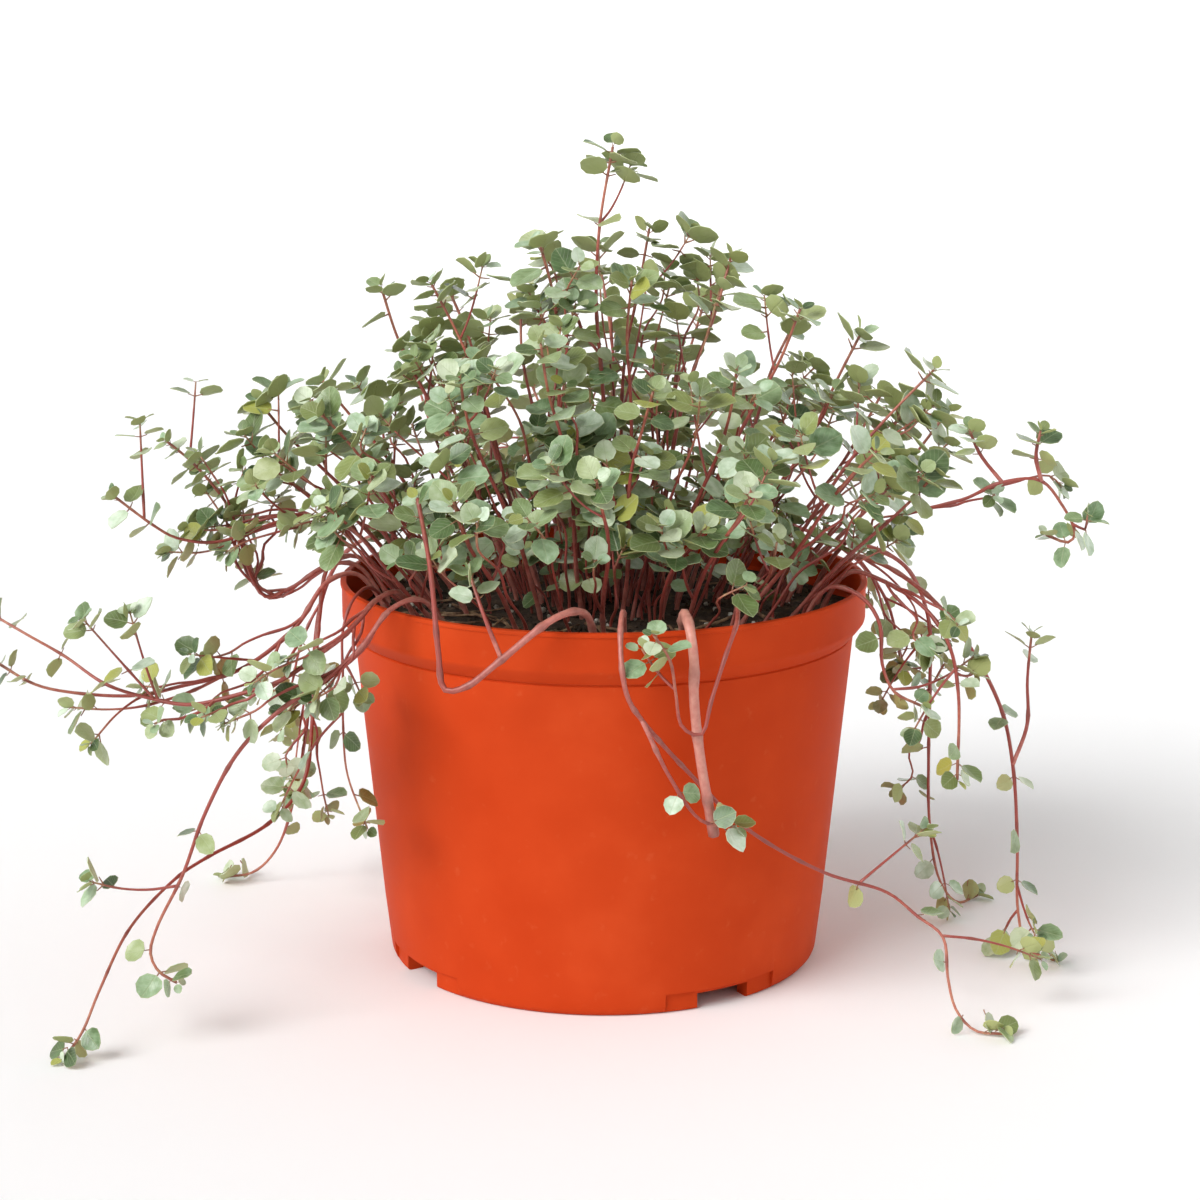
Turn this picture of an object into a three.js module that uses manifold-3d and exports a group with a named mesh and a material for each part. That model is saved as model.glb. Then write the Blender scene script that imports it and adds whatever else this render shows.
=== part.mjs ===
// A trailing plant of the nettle family in a plastic nursery pot, in millimetres.
// +Z is up and the front of the plant looks along -Y. The pot stands on z = 0.
import * as THREE from 'three';
import { mergeVertices } from 'three/addons/utils/BufferGeometryUtils.js';
import Module from 'manifold-3d';

const manifold = await Module();
manifold.setup();
const { Manifold, Mesh } = manifold;

// Pot
const rimRadius = 76.2;
const potHeight = 111.8;
const footRadius = 61.3;
const wall = 1.5;
const lipProud = 0.4; // the bead stands this far out of the collar
const lipHeight = 1.3;
const lipRounding = 0.25;
const collarHeight = 11;
const collarStep = 3.3; // how far the wall steps in below the collar
const stepHeight = 3.8;
const footRounding = 3.2;
const heelFlare = 1.9; // the rounded heel stands this far out of the foot
const footWidth = 3.8;
const floorRise = 5.5; // the floor is held this far off the surface
const potSides = 40;

// Openings at the foot
const notchCount = 4;
const notchTurn = 32.5; // bearing of the first notch, degrees from the front
const notchWidth = 17;
const notchHeight = 4.6;
const panelWidth = 36;
const panelHeight = 5.8;
const panelDepth = 0.9;
const drainCount = 8;
const drainRadius = 4;
const drainRing = 40;
const drainSides = 12;

// Soil
const gap = 0.3; // clearance between pieces that touch
const soilDrop = 10.8; // below the rim
const soilCrown = 2.2; // the soil is this much higher in the middle
const soilGap = 0.4; // between the soil and the pot
const soilSides = 24;
const soilRings = 4;
const socketSides = 5;
const plantingDepth = 7; // how far each stem goes into the soil

// Stems and leaves
const stemRadius = 0.9;
const woodyRadius = 1.35;
const fineRadius = 0.65;
const stemSides = 4;
const stemStep = 16; // length of one straight piece of an upright stem
const bendStep = 10; // and of a stem that bends
const leafLength = 9.5;
const leafWidth = 9;
const leafThickness = 1.1;
const leafSides = 6;
const leafSpacing = 13;
const leafLift = 25; // degrees above square to the stem
const leafLean = 0.6; // blades face up, and this much along the stem too
const crownLeaves = 5;
const outerLeaves = 7;
const plantingRing = 13; // outer stems come up this far inside the rim

// The crown opens like a fan: how much wider it is a hand's height above the soil
const fanSpread = 1.74;
const fanHeight = 100;
const fanPower = 1.1;
const crownBends = 6;
const stemWave = 1.1; // sway of a stem from side to side
const swayTurns = [7, 5]; // how fast it sways along its length, radians
const swayShift = [2.4, 1.7]; // how much the sway differs from stem to stem, radians
const crownLeafStart = 0.42; // the crown's stems are bare below this share of their length
const outerLeafStart = 0.3;
const twigLeafStart = 0.5;
const tipLeafSize = 0.75;
const leafRoom = 1.5; // leaves keep this many stem radii from the middle of another shoot's stem

const radians = THREE.MathUtils.degToRad;
const soilTop = potHeight - soilDrop;

// ---------- solids ----------

function toSolid(geometry) {
  const bare = new THREE.BufferGeometry();
  bare.setAttribute('position', geometry.getAttribute('position').clone());
  if (geometry.index) bare.setIndex(geometry.index.clone());
  const welded = mergeVertices(bare, 1e-4);
  return Manifold.ofMesh(new Mesh({
    numProp: 3,
    vertProperties: new Float32Array(welded.getAttribute('position').array),
    triVerts: new Uint32Array(welded.index.array),
  }));
}

function toGeometry(solid) {
  const mesh = solid.getMesh();
  const geometry = new THREE.BufferGeometry();
  geometry.setAttribute('position', new THREE.BufferAttribute(mesh.vertProperties, 3));
  geometry.setIndex(new THREE.BufferAttribute(mesh.triVerts, 1));
  geometry.computeVertexNormals();
  return geometry;
}

function named(name, solid, material) {
  const mesh = new THREE.Mesh(toGeometry(solid), material);
  mesh.name = name;
  return mesh;
}

function turned(profile, sides) {
  const geometry = new THREE.LatheGeometry(profile, sides);
  geometry.rotateX(Math.PI / 2);
  return toSolid(geometry);
}

// ---------- pot ----------

function at(radius, z) {
  return new THREE.Vector2(radius, z);
}

const collarRadius = rimRadius - lipProud;
const collarBottom = potHeight - collarHeight;
const stepBottom = collarBottom - stepHeight;
const wallTop = collarRadius - collarStep;
const wallBottom = footRadius + heelFlare;

// Outside radius of the tapered wall at a height
function wallRadius(z) {
  const share = (z - footRounding) / (stepBottom - footRounding);
  return THREE.MathUtils.lerp(wallBottom, wallTop, share);
}

// Inside of the pot from the rim down to the floor, held back by a clearance
function insideProfile(clear) {
  const floorTop = floorRise + wall + clear;
  const side = wall + clear;
  const corner = wallRadius(floorTop + footRounding) - side;
  return [
    at(collarRadius - side, potHeight),
    at(collarRadius - side, collarBottom + wall / 2),
    at(wallTop - side, stepBottom),
    at(corner, floorTop + footRounding),
    at(corner - footRounding, floorTop),
    at(0, floorTop),
  ];
}

function potProfile() {
  return [
    at(0, floorRise),
    at(footRadius - footWidth, floorRise),
    at(footRadius - footWidth, 0),
    at(footRadius, 0),
    at(footRadius + heelFlare * Math.SQRT1_2, footRounding * (1 - Math.SQRT1_2)),
    at(wallBottom, footRounding),
    at(wallTop, stepBottom),
    at(collarRadius, collarBottom),
    at(collarRadius, potHeight - lipHeight),
    at(rimRadius, potHeight - lipHeight + lipRounding),
    at(rimRadius, potHeight - lipRounding),
    at(collarRadius, potHeight),
    ...insideProfile(0),
  ];
}

// A block that stands across the foot at a bearing
function footBlock(bearing, innerRadius, width, height) {
  const length = rimRadius - innerRadius;
  const block = new THREE.BoxGeometry(width, length, height * 2);
  block.translate(0, -innerRadius - length / 2, 0);
  block.rotateZ(radians(bearing));
  return toSolid(block);
}

// The shallow recess round each notch, all the way round the foot
function panelRing() {
  const inner = wallBottom - panelDepth;
  return turned([
    at(inner, -wall),
    at(rimRadius, -wall),
    at(rimRadius, panelHeight),
    at(inner, panelHeight),
    at(inner, -wall),
  ], potSides);
}

function buildPot() {
  const cuts = [];
  const ring = panelRing();
  for (let i = 0; i < notchCount; i += 1) {
    const bearing = notchTurn + (i * 360) / notchCount;
    cuts.push(footBlock(bearing, footRadius - footWidth * 2, notchWidth, notchHeight));
    cuts.push(ring.intersect(footBlock(bearing, footRadius / 2, panelWidth, panelHeight * 2)));
  }
  for (let i = 0; i < drainCount; i += 1) {
    const hole = new THREE.CylinderGeometry(drainRadius, drainRadius, wall * 4, drainSides);
    hole.rotateX(Math.PI / 2);
    hole.translate(0, -drainRing, floorRise + wall / 2);
    hole.rotateZ(radians((i * 360) / drainCount));
    cuts.push(toSolid(hole));
  }
  return turned(potProfile(), potSides).subtract(Manifold.union(cuts));
}

// ---------- soil ----------

function soilHeight(radius) {
  const share = Math.min(radius / collarRadius, 1);
  return soilTop + soilCrown * (1 - share ** 2);
}

// The hole for one stem follows its first straight piece
function plantingSocket(shoot) {
  const [foot, next] = shoot.runs[0].joints;
  const radius = (shoot.radius + gap) / Math.cos(Math.PI / socketSides);
  const direction = next.clone().sub(foot).normalize();
  const length = foot.distanceTo(next) + gap;
  const socket = new THREE.CylinderGeometry(radius, radius, length, socketSides);
  const upright = new THREE.Vector3(0, 1, 0);
  socket.applyQuaternion(new THREE.Quaternion().setFromUnitVectors(upright, direction));
  socket.translate(...foot.clone().addScaledVector(direction, length / 2 - gap));
  return toSolid(socket);
}

function buildSoil(shoots) {
  const inside = insideProfile(soilGap);
  const ball = turned([at(0, potHeight), ...inside].reverse(), soilSides);
  const surface = [];
  for (let i = soilRings; i >= 0; i -= 1) {
    const radius = (rimRadius * i) / soilRings;
    surface.push(at(radius, soilHeight(radius)));
  }
  const mound = turned([at(0, 0), at(rimRadius, 0), ...surface], soilSides);
  const sockets = shoots.map((shoot) => plantingSocket(shoot));
  return ball.intersect(mound).subtract(Manifold.union(sockets));
}

// ---------- routes of the stems ----------

// A place given by its bearing from the front, how far out it is from the rim, and its rise:
// millimetres above the rim, or, if negative, the share of the way from the rim to the surface.
function spot([bearing, out, rise], radius) {
  const angle = radians(bearing);
  const lying = radius + gap;
  const height = rise > 0 ? potHeight + rise : THREE.MathUtils.lerp(potHeight, lying, -rise);
  const reach = rimRadius + out;
  return new THREE.Vector3(reach * Math.sin(angle), -reach * Math.cos(angle), height);
}

// A stem's route starts upright in the soil
function planted(root, points) {
  const top = soilHeight(Math.hypot(root.x, root.y));
  const below = new THREE.Vector3(root.x, root.y, top - plantingDepth);
  const above = new THREE.Vector3(root.x, root.y, top + gap);
  return [below, above, ...points];
}

// Stems that lean, trail or hook over the rim: where each comes up, then the places it passes
const outerShoots = [
  { name: 'front_hook_shoot', radius: woodyRadius, bearing: -2,
    route: [[-4, -6, 4], [-9, 3, 5], [-18, 12, -0.05], [-23, 16, -0.11], [-26.5, 17, -0.12],
      [-28, 16, -0.03], [-31, 12, 17], [-35, 9, 35]],
    twigs: [[[-18, 12, -0.05], [-21, 11, 6], [-25, 7, 16]]] },
  { name: 'front_cut_shoot', radius: woodyRadius, bearing: 20, leaves: 0,
    route: [[17, -4, 4], [16, 5, 2], [16, 9, -0.06], [16, 9, -0.14], [18, 6, -0.3], [22, 2.5, -0.51]] },
  { name: 'front_curl_shoot', radius: stemRadius, bearing: 32,
    route: [[29, -3, 4], [25, 6, 2], [21, 12, -0.04], [18, 14, -0.14], [16, 15, -0.22], [13, 14, -0.2],
      [12, 13, -0.12], [11, 13, -0.04], [8, 15, 3]] },
  { name: 'front_long_shoot', radius: stemRadius, bearing: 5,
    route: [[4, -4, 5], [3, 5, 3], [3, 11, -0.06], [4, 11, -0.13], [7, 6, -0.2], [18, -1, -0.36],
      [29, 2, -0.5], [45, 9, -0.64], [55, 20, -0.71], [56, 28, -0.76], [56, 36, -0.8], [54, 40, -0.89],
      [53, 44, -0.96], [53, 50, -1], [54, 57, -1]],
    twigs: [[[7, 6, -0.2], [12, 8, -0.34], [17, 11, -0.44], [24, 9, -0.47]]] },
  { name: 'right_front_hook_shoot', radius: stemRadius, bearing: 60,
    route: [[60, -4, 4], [60, 6, 2], [59, 12, -0.04], [59, 13, -0.14], [60, 16, -0.21], [63, 22, -0.25]] },
  { name: 'right_front_shoot', radius: stemRadius, bearing: 76,
    route: [[73, -4, 5], [71, 6, 4], [68, 20, -0.02], [66, 28, -0.1], [66, 31, -0.22], [65, 32, -0.44]] },
  { name: 'right_arch_shoot', radius: stemRadius, bearing: 103,
    route: [[96, -7, 6], [86, -3, 12], [80, 9, 20], [76, 28, 27], [75, 37, 32], [76, 48, 33],
      [77.5, 54, 26], [79, 58, 17], [80, 56, 14], [80, 50, 16]],
    twigs: [[[75, 37, 32], [74, 32, 40], [73, 29, 47]], [[76, 48, 33], [75, 47, 40], [75, 48, 47]]] },
  { name: 'right_long_shoot', radius: stemRadius, bearing: 96,
    route: [[94, -5, 4], [91, 3, 3.5], [87, 14, -0.02], [84, 25, -0.11], [84, 39, -0.33], [83, 43, -0.48],
      [82, 45, -0.68], [82, 46, -0.88], [81, 49, -0.97], [81, 57, -1]],
    twigs: [[[83, 43, -0.48], [85, 47, -0.38], [87, 47, -0.27], [88, 48, -0.15]]] },
  { name: 'right_side_shoot', radius: stemRadius, bearing: 112,
    route: [[110, -4, 4], [107, 8, 3], [105, 18, -0.03], [106, 26, -0.18], [106, 27, -0.37],
      [107, 28, -0.57], [107, 29, -0.77], [106, 32, -0.93], [106, 38, -1], [108, 47, -1]] },
  { name: 'left_long_shoot', radius: stemRadius, bearing: -54,
    route: [[-52, -5, 4], [-50, 4, 4], [-48, 17, -0.03], [-49, 24, -0.07], [-51, 35, -0.13],
      [-54, 43, -0.16], [-58, 54, -0.19], [-61, 62, -0.18], [-64, 72, -0.15], [-68, 81, -0.09],
      [-70, 90, -0.04], [-73, 99, 0.5]] },
  { name: 'left_low_shoot', radius: stemRadius, bearing: -76,
    route: [[-75, -4, 4], [-73, 5, 3], [-70, 16, -0.08], [-69, 32, -0.17], [-71, 48, -0.21],
      [-72, 60, -0.23], [-74, 78, -0.22], [-75, 87, -0.2], [-77, 97, -0.15]] },
  { name: 'left_front_shoot', radius: stemRadius, bearing: -42,
    route: [[-43, -4, 4], [-44, 6, 3], [-45, 16, -0.06], [-47, 26, -0.13], [-50, 37, -0.2],
      [-53, 46, -0.3], [-55, 54, -0.45], [-56, 60, -0.6], [-57, 67, -0.73], [-57, 69, -0.79],
      [-56, 68, -0.83], [-55, 64, -0.86]] },
  { name: 'left_side_shoot', radius: stemRadius, bearing: -96,
    route: [[-95, -4, 4], [-94, 4, 2], [-92, 7, -0.12], [-89, 8, -0.25], [-87, 9, -0.38],
      [-83, 12, -0.54], [-78, 22, -0.62], [-70, 43, -0.66], [-66, 54, -0.68], [-62, 70, -0.76],
      [-58, 83, -0.87], [-56.5, 90, -0.95], [-56, 96, -1]] },
  { name: 'left_fine_shoot', radius: fineRadius, bearing: -65,
    route: [[-62, -3, 3.5], [-59, 4, 2], [-57, 9, -0.05], [-55, 11, -0.16], [-53, 13, -0.3],
      [-52, 13, -0.4], [-48, 11, -0.53]] },
  { name: 'left_arch_shoot', radius: stemRadius, bearing: -104,
    route: [[-96, -8, 6], [-89, -1, 15], [-85, 7, 18.5], [-83, 16, 18], [-81, 35, 13], [-80, 46, 15],
      [-79, 52, 19], [-79, 63, 28]] },
  { name: 'left_upturned_shoot', radius: stemRadius, bearing: -86,
    route: [[-85, -5, 4], [-85, 4, 4], [-85, 14, -0.02], [-85, 22, -0.04], [-86, 27, 7], [-88, 32, 21],
      [-88, 36, 27], [-88, 42, 34], [-88, 49, 40]] },
  { name: 'back_long_shoot', radius: stemRadius, bearing: 172,
    route: [[172, -4, 4], [172, 6, 3], [171, 16, -0.04], [168, 26, -0.14], [165, 30, -0.34],
      [162, 33, -0.6], [160, 38, -0.85], [158, 46, -0.97], [155, 58, -1]] },
  { name: 'back_left_shoot', radius: stemRadius, bearing: -140,
    route: [[-140, -4, 4], [-141, 6, 3], [-142, 18, -0.04], [-145, 30, -0.12], [-148, 36, -0.3],
      [-150, 36, -0.55], [-150, 33, -0.72]] },
  { name: 'back_right_shoot', radius: stemRadius, bearing: 142,
    route: [[141, -4, 4], [140, 6, 4], [137, 20, -0.01], [133, 32, -0.08], [130, 42, -0.22],
      [128, 47, -0.42], [127, 54, -0.5], [126, 60, -0.42]] },
  { name: 'back_arch_shoot', radius: stemRadius, bearing: -166,
    route: [[-168, -8, 6], [-171, -1, 13], [-171, 12, 20], [-169, 28, 24], [-168, 40, 20], [-167, 48, 11]] },
  { name: 'left_back_shoot', radius: stemRadius, bearing: -120,
    route: [[-119, -4, 4], [-119, 6, 3], [-120, 18, -0.05], [-121, 27, -0.2], [-120, 30, -0.45],
      [-118, 33, -0.7], [-117, 40, -0.9], [-116, 48, -0.98], [-115, 57, -1]] },
];

// Upright stems of the crown: bearing of the tip, its reach from the middle, its height above the rim
const crownTips = [
  [174, 1, 120], [-61, 21, 95], [35, 17, 84], [153, 22, 96], [-90, 47, 82], [-104, 67, 79],
  [70, 56, 77], [94, 76, 67], [78, 92, 60], [66, 100, 36], [-95, 99, 48], [110, 36, 88],
  [97, 103, 44], [-40, 62, 62], [-68, 84, 50], [-18, 48, 70], [12, 52, 58], [38, 60, 64],
  [52, 92, 44], [26, 84, 36], [0, 82, 40], [-28, 86, 34], [-50, 96, 30], [128, 74, 64],
  [152, 60, 72], [178, 52, 80], [-156, 64, 70], [-130, 62, 76], [-116, 92, 50], [-140, 94, 46],
  [-166, 92, 42], [166, 90, 46], [143, 98, 40], [120, 100, 44],
];

// How much wider the crown is at a height above the soil than at the soil
function fan(height) {
  return 1 + fanSpread * (Math.max(height, 0) / fanHeight) ** fanPower;
}

function crownShoot([bearing, reach, rise], index) {
  const angle = radians(bearing);
  const tall = rise + soilDrop;
  const width = reach / fan(tall);
  const root = new THREE.Vector3(width * Math.sin(angle), -width * Math.cos(angle), 0);
  const base = soilHeight(width);
  const points = [];
  for (let i = 1; i <= crownBends; i += 1) {
    const share = i / crownBends;
    const height = share * tall;
    const open = fan(height);
    const wave = stemWave * open * Math.sqrt(share);
    points.push(new THREE.Vector3(
      root.x * open + wave * Math.sin(share * swayTurns[0] + index * swayShift[0]),
      root.y * open + wave * Math.cos(share * swayTurns[1] + index * swayShift[1]),
      base + gap + height,
    ));
  }
  return {
    name: `crown_shoot_${index + 1}`, radius: stemRadius, root, leafStart: crownLeafStart,
    leaves: crownLeaves, runs: [stemRun(planted(root, points), stemStep)],
  };
}

// ---------- stems ----------

function stemRun(points, step) {
  const curve = new THREE.CatmullRomCurve3(points, false, 'centripetal');
  const length = curve.getLength();
  const steps = Math.ceil(length / step);
  return { curve, length, steps, joints: curve.getSpacedPoints(steps) };
}

// The middle of the straight-sided stem at a share of its length, and its direction there
function along(run, share) {
  const place = share * run.steps;
  const first = Math.min(Math.floor(place), run.steps - 1);
  const [a, b] = [run.joints[first], run.joints[first + 1]];
  return { point: a.clone().lerp(b, place - first), heading: b.clone().sub(a).normalize() };
}

function tube(run, radius) {
  const section = new THREE.Shape();
  for (let i = 0; i < stemSides; i += 1) {
    const angle = (i * 2 * Math.PI) / stemSides;
    const corner = [radius * Math.cos(angle), radius * Math.sin(angle)];
    if (i === 0) section.moveTo(...corner);
    else section.lineTo(...corner);
  }
  section.closePath();
  const options = { steps: run.steps, extrudePath: run.curve, bevelEnabled: false };
  return toSolid(new THREE.ExtrudeGeometry(section, options));
}

// A twig springs from the joint of the stem that is nearest to its first place
function twigRun(twig, stem, radius) {
  const [first, ...rest] = twig.map((place) => spot(place, radius));
  const nearer = (a, b) => (a.distanceTo(first) < b.distanceTo(first) ? a : b);
  return stemRun([stem.joints.reduce(nearer), ...rest], bendStep);
}

function outerShoot(plan) {
  const root = spot([plan.bearing, -plantingRing, 1], plan.radius);
  const points = plan.route.map((place) => spot(place, plan.radius));
  const stem = stemRun(planted(root, points), bendStep);
  const twigs = (plan.twigs ?? []).map((twig) => twigRun(twig, stem, plan.radius));
  return {
    name: plan.name, radius: plan.radius, root, leafStart: outerLeafStart,
    leaves: plan.leaves ?? outerLeaves, runs: [stem, ...twigs],
  };
}

// ---------- leaves ----------

// One leaf: a thin six-sided blade that starts inside the stem
function leafBlade({ point, heading, turn, size }) {
  const side = Math.abs(heading.z) > 0.9 ? new THREE.Vector3(1, 0, 0) : new THREE.Vector3(0, 0, 1);
  const across = new THREE.Vector3().crossVectors(heading, side).normalize();
  const square = across.applyAxisAngle(heading, turn);
  const lift = radians(leafLift);
  const reach = square.clone().multiplyScalar(Math.cos(lift)).addScaledVector(heading, Math.sin(lift));
  const sky = new THREE.Vector3(0, 0, 1).addScaledVector(heading, leafLean);
  const breadth = new THREE.Vector3().crossVectors(sky, reach).normalize();
  const face = new THREE.Vector3().crossVectors(reach, breadth).normalize();
  const centre = point.clone().addScaledVector(reach, (leafLength * size) / 2 - fineRadius / 2);
  const blade = new THREE.SphereGeometry(1, leafSides, 2);
  blade.scale((leafLength * size) / 2, leafThickness / 2, (leafWidth * size) / 2);
  const frame = new THREE.Matrix4().makeBasis(reach, face, breadth.clone().negate());
  blade.applyMatrix4(frame.setPosition(centre));
  return { blade, centre, reach: (leafLength * size) / 2 };
}

function distance(a, b) {
  return Math.hypot(a.x - b.x, a.y - b.y, a.z - b.z);
}

// A leaf has room if it clears every other shoot, the pot, the soil and the surface
function hasRoom(leaf, owner, taken) {
  const lowest = leaf.centre.z - leaf.reach;
  const outside = Math.hypot(leaf.centre.x, leaf.centre.y) - leaf.reach > rimRadius + gap;
  const above = lowest > potHeight + gap;
  leaf.blade.computeBoundingBox();
  if (leaf.blade.boundingBox.min.z < gap) return false;
  if (!outside && !above) return false;
  return taken.every((other) => other.owner === owner
    || distance(other.centre, leaf.centre) > other.reach + leaf.reach + gap);
}

function leafPlaces(shoot) {
  const places = [];
  for (const run of shoot.runs) {
    const start = run === shoot.runs[0] ? shoot.leafStart : twigLeafStart;
    const pairs = Math.max(1, Math.floor((run.length * (1 - start)) / leafSpacing));
    for (let i = 0; i < pairs; i += 1) {
      const share = 1 - (i * leafSpacing + shoot.radius) / run.length;
      const { point, heading } = along(run, share);
      for (const half of [0, Math.PI]) {
        const turn = half + (i * Math.PI) / 2;
        places.push({ point, heading, turn, size: i === 0 ? tipLeafSize : 1 });
      }
    }
  }
  return places;
}

function stemSpheres(shoot) {
  const spheres = [];
  for (const run of shoot.runs) {
    const count = Math.ceil(run.length / shoot.radius / 2);
    for (let i = 0; i <= count; i += 1) {
      const centre = along(run, i / count).point;
      spheres.push({ centre, reach: shoot.radius * leafRoom, owner: shoot.name });
    }
  }
  return spheres;
}

function buildShoot(shoot, taken) {
  const solids = shoot.runs.map((run) => tube(run, shoot.radius));
  let count = 0;
  for (const place of leafPlaces(shoot)) {
    if (count >= shoot.leaves) break;
    const leaf = leafBlade(place);
    if (!hasRoom(leaf, shoot.name, taken)) continue;
    taken.push({ centre: leaf.centre, reach: leaf.reach, owner: shoot.name });
    solids.push(toSolid(leaf.blade));
    count += 1;
  }
  return Manifold.union(solids);
}

// ---------- materials ----------

const plastic = new THREE.MeshStandardMaterial({ color: 0xd64a1e, roughness: 0.45, metalness: 0 });
const peat = new THREE.MeshStandardMaterial({ color: 0x2a211b, roughness: 1, metalness: 0 });
const foliage = new THREE.MeshStandardMaterial({ color: 0x7d9a80, roughness: 0.5, metalness: 0 });

// ---------- the plant in its pot ----------

const shoots = [...outerShoots.map(outerShoot), ...crownTips.map(crownShoot)];
const taken = shoots.flatMap(stemSpheres);
const plant = new THREE.Group();
plant.add(named('pot', buildPot(), plastic));
plant.add(named('soil', buildSoil(shoots), peat));
for (const shoot of shoots) {
  plant.add(named(shoot.name, buildShoot(shoot, taken), foliage));
}

// The middle of the plant's spread stands over the origin
const spread = new THREE.Box3().setFromObject(plant);
const middle = spread.getCenter(new THREE.Vector3());
plant.position.set(-middle.x, -middle.y, 0);

export default plant;
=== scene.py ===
import math
from random import Random

import bpy
import bmesh
from mathutils import Matrix, Vector, noise


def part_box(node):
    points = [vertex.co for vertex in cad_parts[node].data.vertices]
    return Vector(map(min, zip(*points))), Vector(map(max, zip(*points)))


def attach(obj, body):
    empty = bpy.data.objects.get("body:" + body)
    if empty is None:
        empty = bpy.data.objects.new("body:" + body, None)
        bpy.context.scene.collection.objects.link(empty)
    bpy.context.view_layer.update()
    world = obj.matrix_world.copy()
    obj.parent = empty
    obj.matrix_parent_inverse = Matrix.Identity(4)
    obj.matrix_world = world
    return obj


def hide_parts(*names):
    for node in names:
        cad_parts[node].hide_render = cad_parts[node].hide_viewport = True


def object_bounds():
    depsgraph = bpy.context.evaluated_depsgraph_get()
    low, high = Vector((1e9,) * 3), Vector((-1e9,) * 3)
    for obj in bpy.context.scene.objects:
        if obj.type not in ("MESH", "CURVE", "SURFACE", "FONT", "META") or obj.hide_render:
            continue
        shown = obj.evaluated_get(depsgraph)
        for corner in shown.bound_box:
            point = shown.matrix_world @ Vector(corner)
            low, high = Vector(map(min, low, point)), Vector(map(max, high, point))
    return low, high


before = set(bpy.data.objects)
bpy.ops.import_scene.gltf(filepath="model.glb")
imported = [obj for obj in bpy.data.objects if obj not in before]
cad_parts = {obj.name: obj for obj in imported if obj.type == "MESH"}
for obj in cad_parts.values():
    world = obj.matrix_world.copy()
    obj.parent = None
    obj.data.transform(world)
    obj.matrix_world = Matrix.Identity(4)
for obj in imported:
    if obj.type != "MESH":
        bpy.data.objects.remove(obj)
cadBounds = [list(corner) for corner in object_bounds()]
mm = 0.001

# The pot's place and size, which everything else hangs on
potLow, potHigh = (Vector(corner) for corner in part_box("pot"))
soilLow, soilHigh = (Vector(corner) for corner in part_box("soil"))
potAxis = Vector(((potLow.x + potHigh.x) / 2, (potLow.y + potHigh.y) / 2, 0))
rimRadius = (potHigh.x - potLow.x) / 2
potHeight = potHigh.z
soilTop = soilHigh.z - 2.2 * mm
up = Vector((0, 0, 1))


def around(bearing, reach, z):  # a place by its bearing from the front, degrees
    angle = math.radians(bearing)
    return potAxis + Vector((reach * math.sin(angle), -reach * math.cos(angle), z))


def toMesh(bm, name):
    mesh = bpy.data.meshes.new(name)
    bm.to_mesh(mesh)
    bm.free()
    return mesh


def addPiece(name, mesh, material, slot, *nodes):
    piece = bpy.data.objects.new(name, mesh)
    bpy.context.scene.collection.objects.link(piece)
    mesh.materials.clear()
    mesh.materials.append(material)
    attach(piece, "root")
    if nodes:
        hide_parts(*nodes)
    return piece


cameraLook = dict(lens=80, side=-1.1 * mm, back=757.9 * mm, height=270.7 * mm, down=12.39)
lightLook = dict(
    world=0.46, key=2.85, keyAngle=40, keyAim=(0.75, 0.65, -0.75),
    side=1.8, sideAngle=60, sideAim=(0.95, 0.45, -0.15),
    floor=(0.95, 0.95, 0.95), floorReach=3.2, wallHeight=1.4, bend=0.7, bendSteps=12, roundSteps=72,
)


def makeCamera(look):
    data = bpy.data.cameras.new("camera")
    data.lens = look["lens"]
    data.sensor_width = 36
    camera = bpy.data.objects.new("camera", data)
    camera.location = potAxis + Vector((look["side"], -look["back"], look["height"]))
    camera.rotation_euler = (math.radians(90 - look["down"]), 0, 0)
    bpy.context.scene.collection.objects.link(camera)
    bpy.context.scene.camera = camera


def makeSun(name, strength, spread, aim):
    data = bpy.data.lights.new(name, "SUN")
    data.energy = strength
    data.angle = math.radians(spread)
    sun = bpy.data.objects.new(name, data)
    sun.rotation_euler = Vector(aim).to_track_quat("-Z", "Y").to_euler()
    bpy.context.scene.collection.objects.link(sun)


def makeLights(look):
    world = bpy.data.worlds.new("studio")
    world.use_nodes = True
    background = world.node_tree.nodes["Background"]
    background.inputs["Color"].default_value = (1, 1, 1, 1)
    background.inputs["Strength"].default_value = look["world"]
    bpy.context.scene.world = world
    bpy.context.scene.view_settings.view_transform = "Standard"
    makeSun("keyLight", look["key"], look["keyAngle"], look["keyAim"])
    makeSun("sideLight", look["side"], look["sideAngle"], look["sideAim"])


def makeFloor(look):  # a round floor that curves up into a low wall
    bm = bmesh.new()
    line = [bm.verts.new((0, 0, 0)), bm.verts.new((look["floorReach"] - look["bend"], 0, 0))]
    for i in range(1, look["bendSteps"] + 1):
        turn = math.radians(90 * i / look["bendSteps"])
        out = look["floorReach"] - look["bend"] * (1 - math.sin(turn))
        line.append(bm.verts.new((out, 0, look["bend"] * (1 - math.cos(turn)))))
    line.append(bm.verts.new((look["floorReach"], 0, look["wallHeight"])))
    edges = [bm.edges.new(pair) for pair in zip(line, line[1:])]
    bmesh.ops.spin(
        bm, geom=line + edges, cent=(0, 0, 0), axis=(0, 0, 1), angle=2 * math.pi,
        steps=look["roundSteps"], use_merge=True)
    bmesh.ops.remove_doubles(bm, verts=bm.verts, dist=mm)
    bmesh.ops.recalc_face_normals(bm, faces=bm.faces)
    for face in bm.faces:
        face.smooth = True
    mesh = toMesh(bm, "floor")
    floor = bpy.data.objects.new("floor", mesh)
    bpy.context.scene.collection.objects.link(floor)
    paint = Look("floorPaint", Roughness=0.8, **{"Base Color": (*look["floor"], 1)})
    mesh.materials.append(paint.material)


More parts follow.
